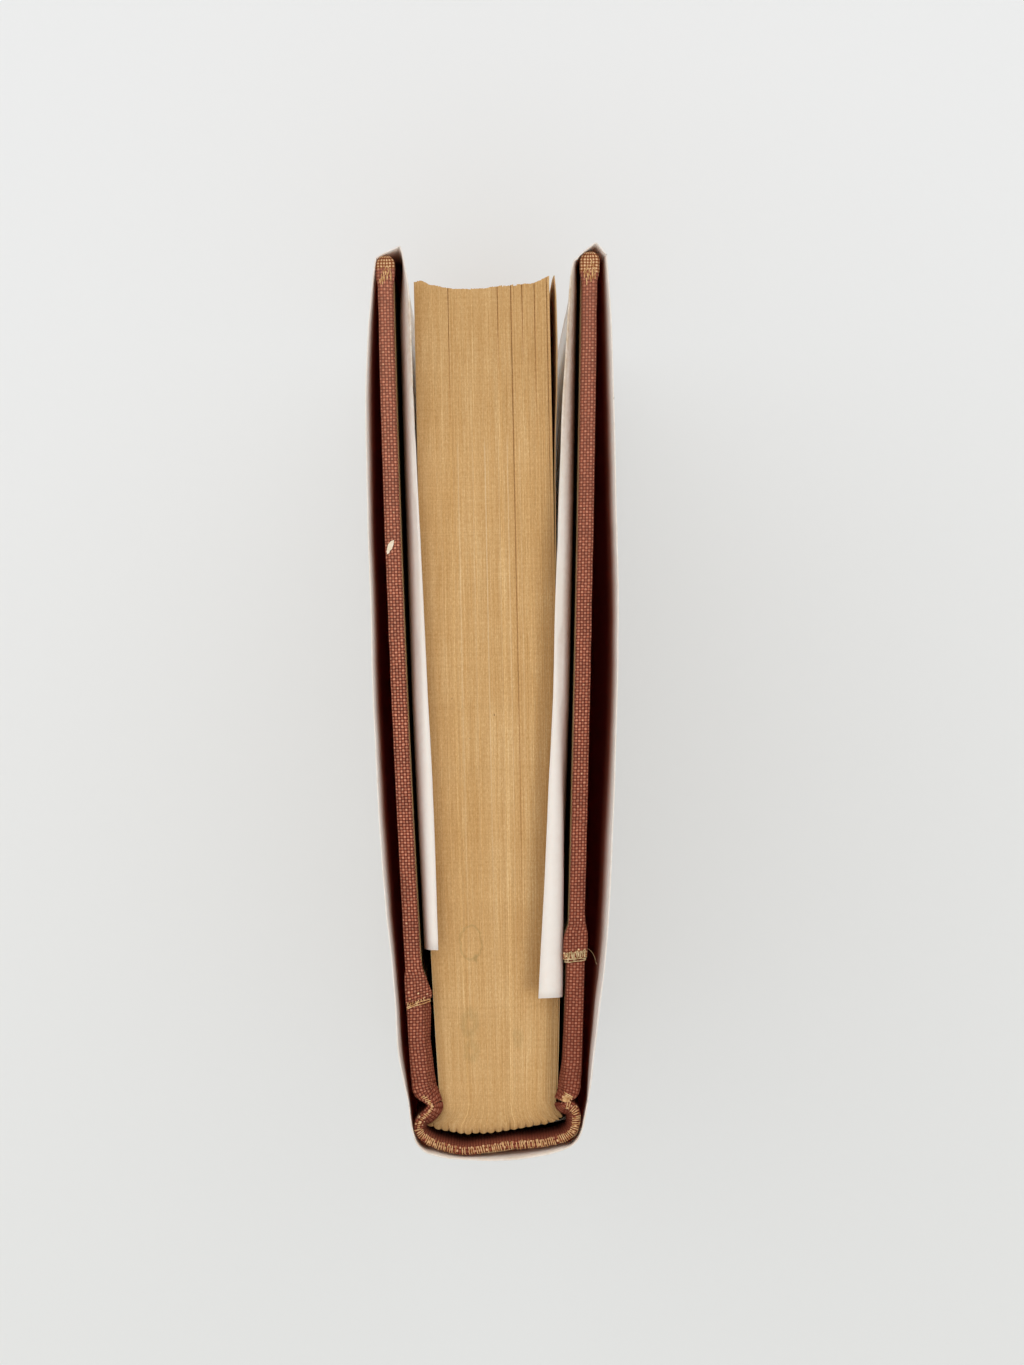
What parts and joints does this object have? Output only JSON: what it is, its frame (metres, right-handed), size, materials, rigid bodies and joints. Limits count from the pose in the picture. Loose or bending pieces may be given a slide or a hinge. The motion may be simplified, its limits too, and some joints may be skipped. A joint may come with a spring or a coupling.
{
  "type": "open book",
  "caption": "Cloth-bound hardback in a plain paper jacket, standing on its tail with both covers a little open. The covers hinge at the joints beside the rounded back.",
  "frame": {"origin": "middle of the book's footprint, on the surface it stands on", "axes": "+Z from tail to head, +Y from the back towards the fore edge, +X towards the front cover"},
  "size_m": [0.0404, 0.1476, 0.2106],
  "materials": {
    "pages": "yellowed book paper, cut edges",
    "endpaper": "yellowed plain paper",
    "gauze": "open cotton gauze",
    "spine_cloth": "plain-weave book cloth, matte, worn",
    "side_cloth": "plain-weave book cloth, matte, worn",
    "inlay_card": "grey-brown card",
    "board": "dense grey board",
    "jacket_paper": "smooth coated paper, blank"
  },
  "bodies": {
    "book_block": {"text_block": "pages", "front_flyleaf": "endpaper", "back_flyleaf": "endpaper", "spine_gauze": "gauze", "spine_cloth": "spine_cloth", "spine_inlay": "inlay_card", "jacket_spine": "jacket_paper"},
    "front_cover": {"front_board": "board", "front_joint_cloth": "spine_cloth", "front_side_cloth": "side_cloth", "front_gauze": "gauze", "front_pastedown": "endpaper", "front_jacket": "jacket_paper"},
    "back_cover": {"back_board": "board", "back_joint_cloth": "spine_cloth", "back_side_cloth": "side_cloth", "back_gauze": "gauze", "back_pastedown": "endpaper", "back_jacket": "jacket_paper"}
  },
  "joints": [
    {"name": "front_joint", "type": "hinge", "parent": "book_block", "child": "front_cover", "pos_m": [0.0146, -0.06465, 0.1], "axis": [0, 0, -1], "range_deg": [0, 170]},
    {"name": "back_joint", "type": "hinge", "parent": "book_block", "child": "back_cover", "pos_m": [-0.0146, -0.06465, 0.1], "axis": [0, 0, 1], "range_deg": [0, 170]}
  ]
}
